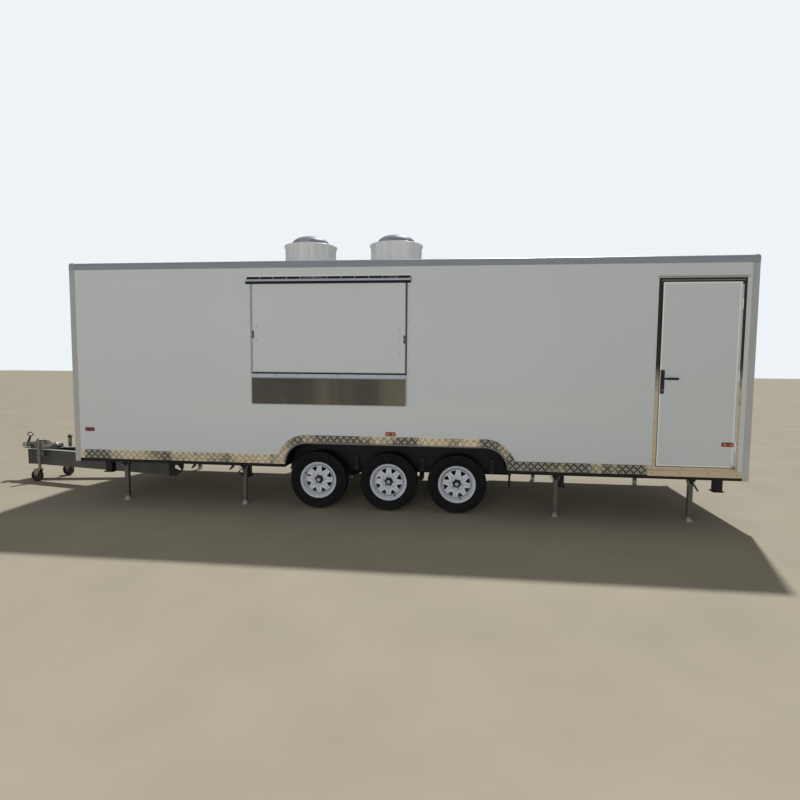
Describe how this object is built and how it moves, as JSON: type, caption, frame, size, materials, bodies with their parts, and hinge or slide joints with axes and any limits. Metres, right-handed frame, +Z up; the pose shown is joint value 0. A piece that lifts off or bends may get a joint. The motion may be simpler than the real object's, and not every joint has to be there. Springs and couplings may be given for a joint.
{
  "type": "food trailer",
  "caption": "Long white concession trailer on three axles with a serving hatch, fold-down counter, end door, roof vents, drop legs and an A-frame drawbar.",
  "frame": {"origin": "on the ground under the middle of the overall length and width", "axes": "+X to the rear, drawbar at -X; -Y is the serving side; +Z up"},
  "size_m": [9.3108, 2.281, 3.255],
  "materials": {
    "panel": "gloss",
    "aluminium": "satin",
    "chequer": "satin",
    "stainless": "brushed",
    "chassis_paint": "satin",
    "zinc": "matte",
    "tyre": "matte",
    "wheel_paint": "gloss",
    "black_rubber": "matte",
    "black_plastic": "matte",
    "red_lens": "gloss",
    "amber_lens": "gloss",
    "floor_ply": "satin",
    "jockey_rubber": "matte",
    "chrome": "polished"
  },
  "bodies": {
    "trailer": {"floor": "floor_ply", "chassis_frame": "chassis_paint", "drawbar_beams": "chassis_paint", "drawbar_nose": "chassis_paint", "coupling": "zinc", "front_wall": "panel", "rear_wall": "panel", "service_wall": "panel", "far_wall": "panel", "roof": "panel", "roof_trim": "aluminium", "corner_trims": "aluminium", "skirts": "chequer", "wheel_wells": "chassis_paint", "door_frame": "stainless", "hatch_frame": "aluminium", "hatch_hinge": "black_rubber", "counter_rail": "aluminium", "roof_vent_1": "aluminium", "roof_vent_2": "aluminium", "lamps_red": "red_lens", "lamps_amber": "amber_lens", "mud_flaps": "black_rubber", "drain_pipe": "black_plastic", "jockey_tubes": "zinc", "axles": "chassis_paint"},
    "wheel_near_1": {"rim_near_1": "wheel_paint", "tyre_near_1": "tyre"},
    "wheel_near_2": {"rim_near_2": "wheel_paint", "tyre_near_2": "tyre"},
    "wheel_near_3": {"rim_near_3": "wheel_paint", "tyre_near_3": "tyre"},
    "wheel_far_1": {"rim_far_1": "wheel_paint", "tyre_far_1": "tyre"},
    "wheel_far_2": {"rim_far_2": "wheel_paint", "tyre_far_2": "tyre"},
    "wheel_far_3": {"rim_far_3": "wheel_paint", "tyre_far_3": "tyre"},
    "leg_near_1": {"leg_near_1": "zinc"},
    "leg_near_2": {"leg_near_2": "zinc"},
    "leg_near_3": {"leg_near_3": "zinc"},
    "leg_near_4": {"leg_near_4": "zinc"},
    "leg_far_1": {"leg_far_1": "zinc"},
    "leg_far_2": {"leg_far_2": "zinc"},
    "leg_far_3": {"leg_far_3": "zinc"},
    "leg_far_4": {"leg_far_4": "zinc"},
    "jockey_castor_1": {"jockey_castor_1": "zinc"},
    "jockey_wheel_1": {"jockey_wheel_1": "jockey_rubber"},
    "jockey_castor_2": {"jockey_castor_2": "zinc"},
    "jockey_wheel_2": {"jockey_wheel_2": "jockey_rubber"},
    "door": {"door": "panel", "door_handle": "black_plastic", "door_lamp": "amber_lens"},
    "hatch": {"hatch": "panel"},
    "strut_barrel_left": {"strut_barrel_left": "black_plastic"},
    "strut_rod_left": {"strut_rod_left": "chrome"},
    "strut_barrel_right": {"strut_barrel_right": "black_plastic"},
    "strut_rod_right": {"strut_rod_right": "chrome"},
    "counter": {"counter": "stainless"}
  },
  "joints": [
    {"name": "wheel_near_1_spin", "type": "hinge", "parent": "trailer", "child": "wheel_near_1", "pos_m": [0.01, -0.925, 0.336], "axis": [0, 1, 0], "continuous": true},
    {"name": "wheel_near_2_spin", "type": "hinge", "parent": "trailer", "child": "wheel_near_2", "pos_m": [0.833, -0.925, 0.336], "axis": [0, 1, 0], "continuous": true},
    {"name": "wheel_near_3_spin", "type": "hinge", "parent": "trailer", "child": "wheel_near_3", "pos_m": [1.616, -0.925, 0.336], "axis": [0, 1, 0], "continuous": true},
    {"name": "wheel_far_1_spin", "type": "hinge", "parent": "trailer", "child": "wheel_far_1", "pos_m": [0.01, 0.925, 0.336], "axis": [0, 1, 0], "continuous": true},
    {"name": "wheel_far_2_spin", "type": "hinge", "parent": "trailer", "child": "wheel_far_2", "pos_m": [0.833, 0.925, 0.336], "axis": [0, 1, 0], "continuous": true},
    {"name": "wheel_far_3_spin", "type": "hinge", "parent": "trailer", "child": "wheel_far_3", "pos_m": [1.616, 0.925, 0.336], "axis": [0, 1, 0], "continuous": true},
    {"name": "leg_near_1_fold", "type": "hinge", "parent": "trailer", "child": "leg_near_1", "pos_m": [-2.42, -0.915, 0.442], "axis": [0, -1, 0], "range_deg": [0, 90]},
    {"name": "leg_near_2_fold", "type": "hinge", "parent": "trailer", "child": "leg_near_2", "pos_m": [-0.91, -0.915, 0.442], "axis": [0, 1, 0], "range_deg": [0, 90]},
    {"name": "leg_near_3_fold", "type": "hinge", "parent": "trailer", "child": "leg_near_3", "pos_m": [2.715, -0.915, 0.442], "axis": [0, -1, 0], "range_deg": [0, 90]},
    {"name": "leg_near_4_fold", "type": "hinge", "parent": "trailer", "child": "leg_near_4", "pos_m": [4.15, -0.915, 0.442], "axis": [0, 1, 0], "range_deg": [0, 90]},
    {"name": "leg_far_1_fold", "type": "hinge", "parent": "trailer", "child": "leg_far_1", "pos_m": [-2.42, 0.915, 0.442], "axis": [0, -1, 0], "range_deg": [0, 90]},
    {"name": "leg_far_2_fold", "type": "hinge", "parent": "trailer", "child": "leg_far_2", "pos_m": [-0.91, 0.915, 0.442], "axis": [0, 1, 0], "range_deg": [0, 90]},
    {"name": "leg_far_3_fold", "type": "hinge", "parent": "trailer", "child": "leg_far_3", "pos_m": [2.715, 0.915, 0.442], "axis": [0, -1, 0], "range_deg": [0, 90]},
    {"name": "leg_far_4_fold", "type": "hinge", "parent": "trailer", "child": "leg_far_4", "pos_m": [4.15, 0.915, 0.442], "axis": [0, 1, 0], "range_deg": [0, 90]},
    {"name": "jockey_castor_1_swivel", "type": "hinge", "parent": "trailer", "child": "jockey_castor_1", "pos_m": [-4.217, -0.2, 0.3], "axis": [0, 0, 1], "continuous": true},
    {"name": "jockey_wheel_1_spin", "type": "hinge", "parent": "jockey_castor_1", "child": "jockey_wheel_1", "pos_m": [-4.259, -0.2, 0.08], "axis": [0, 1, 0], "continuous": true},
    {"name": "jockey_castor_2_swivel", "type": "hinge", "parent": "trailer", "child": "jockey_castor_2", "pos_m": [-4.08, 0.225, 0.3], "axis": [0, 0, 1], "continuous": true},
    {"name": "jockey_wheel_2_spin", "type": "hinge", "parent": "jockey_castor_2", "child": "jockey_wheel_2", "pos_m": [-4.122, 0.225, 0.08], "axis": [0, 1, 0], "continuous": true},
    {"name": "door_swing", "type": "hinge", "parent": "trailer", "child": "door", "pos_m": [4.497, -1.109, 1.6], "axis": [0, 0, 1], "range_deg": [0, 105]},
    {"name": "hatch_lift", "type": "hinge", "parent": "trailer", "child": "hatch", "pos_m": [0.15, -1.127, 2.6246], "axis": [-1, 0, 0], "range_deg": [0, 85]},
    {"name": "strut_turn_left", "type": "hinge", "parent": "hatch", "child": "strut_barrel_left", "pos_m": [-0.696, -1.051, 2.465], "axis": [1, 0, 0], "range_deg": [0, 107.33]},
    {"name": "strut_slide_left", "type": "slide", "parent": "strut_barrel_left", "child": "strut_rod_left", "axis": [0, 0, -1], "range_m": [0, 0.11503]},
    {"name": "strut_turn_right", "type": "hinge", "parent": "hatch", "child": "strut_barrel_right", "pos_m": [0.996, -1.051, 2.465], "axis": [1, 0, 0], "range_deg": [0, 107.33]},
    {"name": "strut_slide_right", "type": "slide", "parent": "strut_barrel_right", "child": "strut_rod_right", "axis": [0, 0, -1], "range_m": [0, 0.11503]},
    {"name": "counter_lift", "type": "hinge", "parent": "trailer", "child": "counter", "pos_m": [0.15, -1.133, 1.5303], "axis": [-1, 0, 0], "range_deg": [0, 90]}
  ],
  "couplings": [
    {"joint": "strut_turn_left", "follows": "hatch_lift", "ratio": 1.2569},
    {"joint": "strut_slide_left", "follows": "hatch_lift", "m_per_rad": 0.07686},
    {"joint": "strut_turn_right", "follows": "hatch_lift", "ratio": 1.2569},
    {"joint": "strut_slide_right", "follows": "hatch_lift", "m_per_rad": 0.07686}
  ]
}
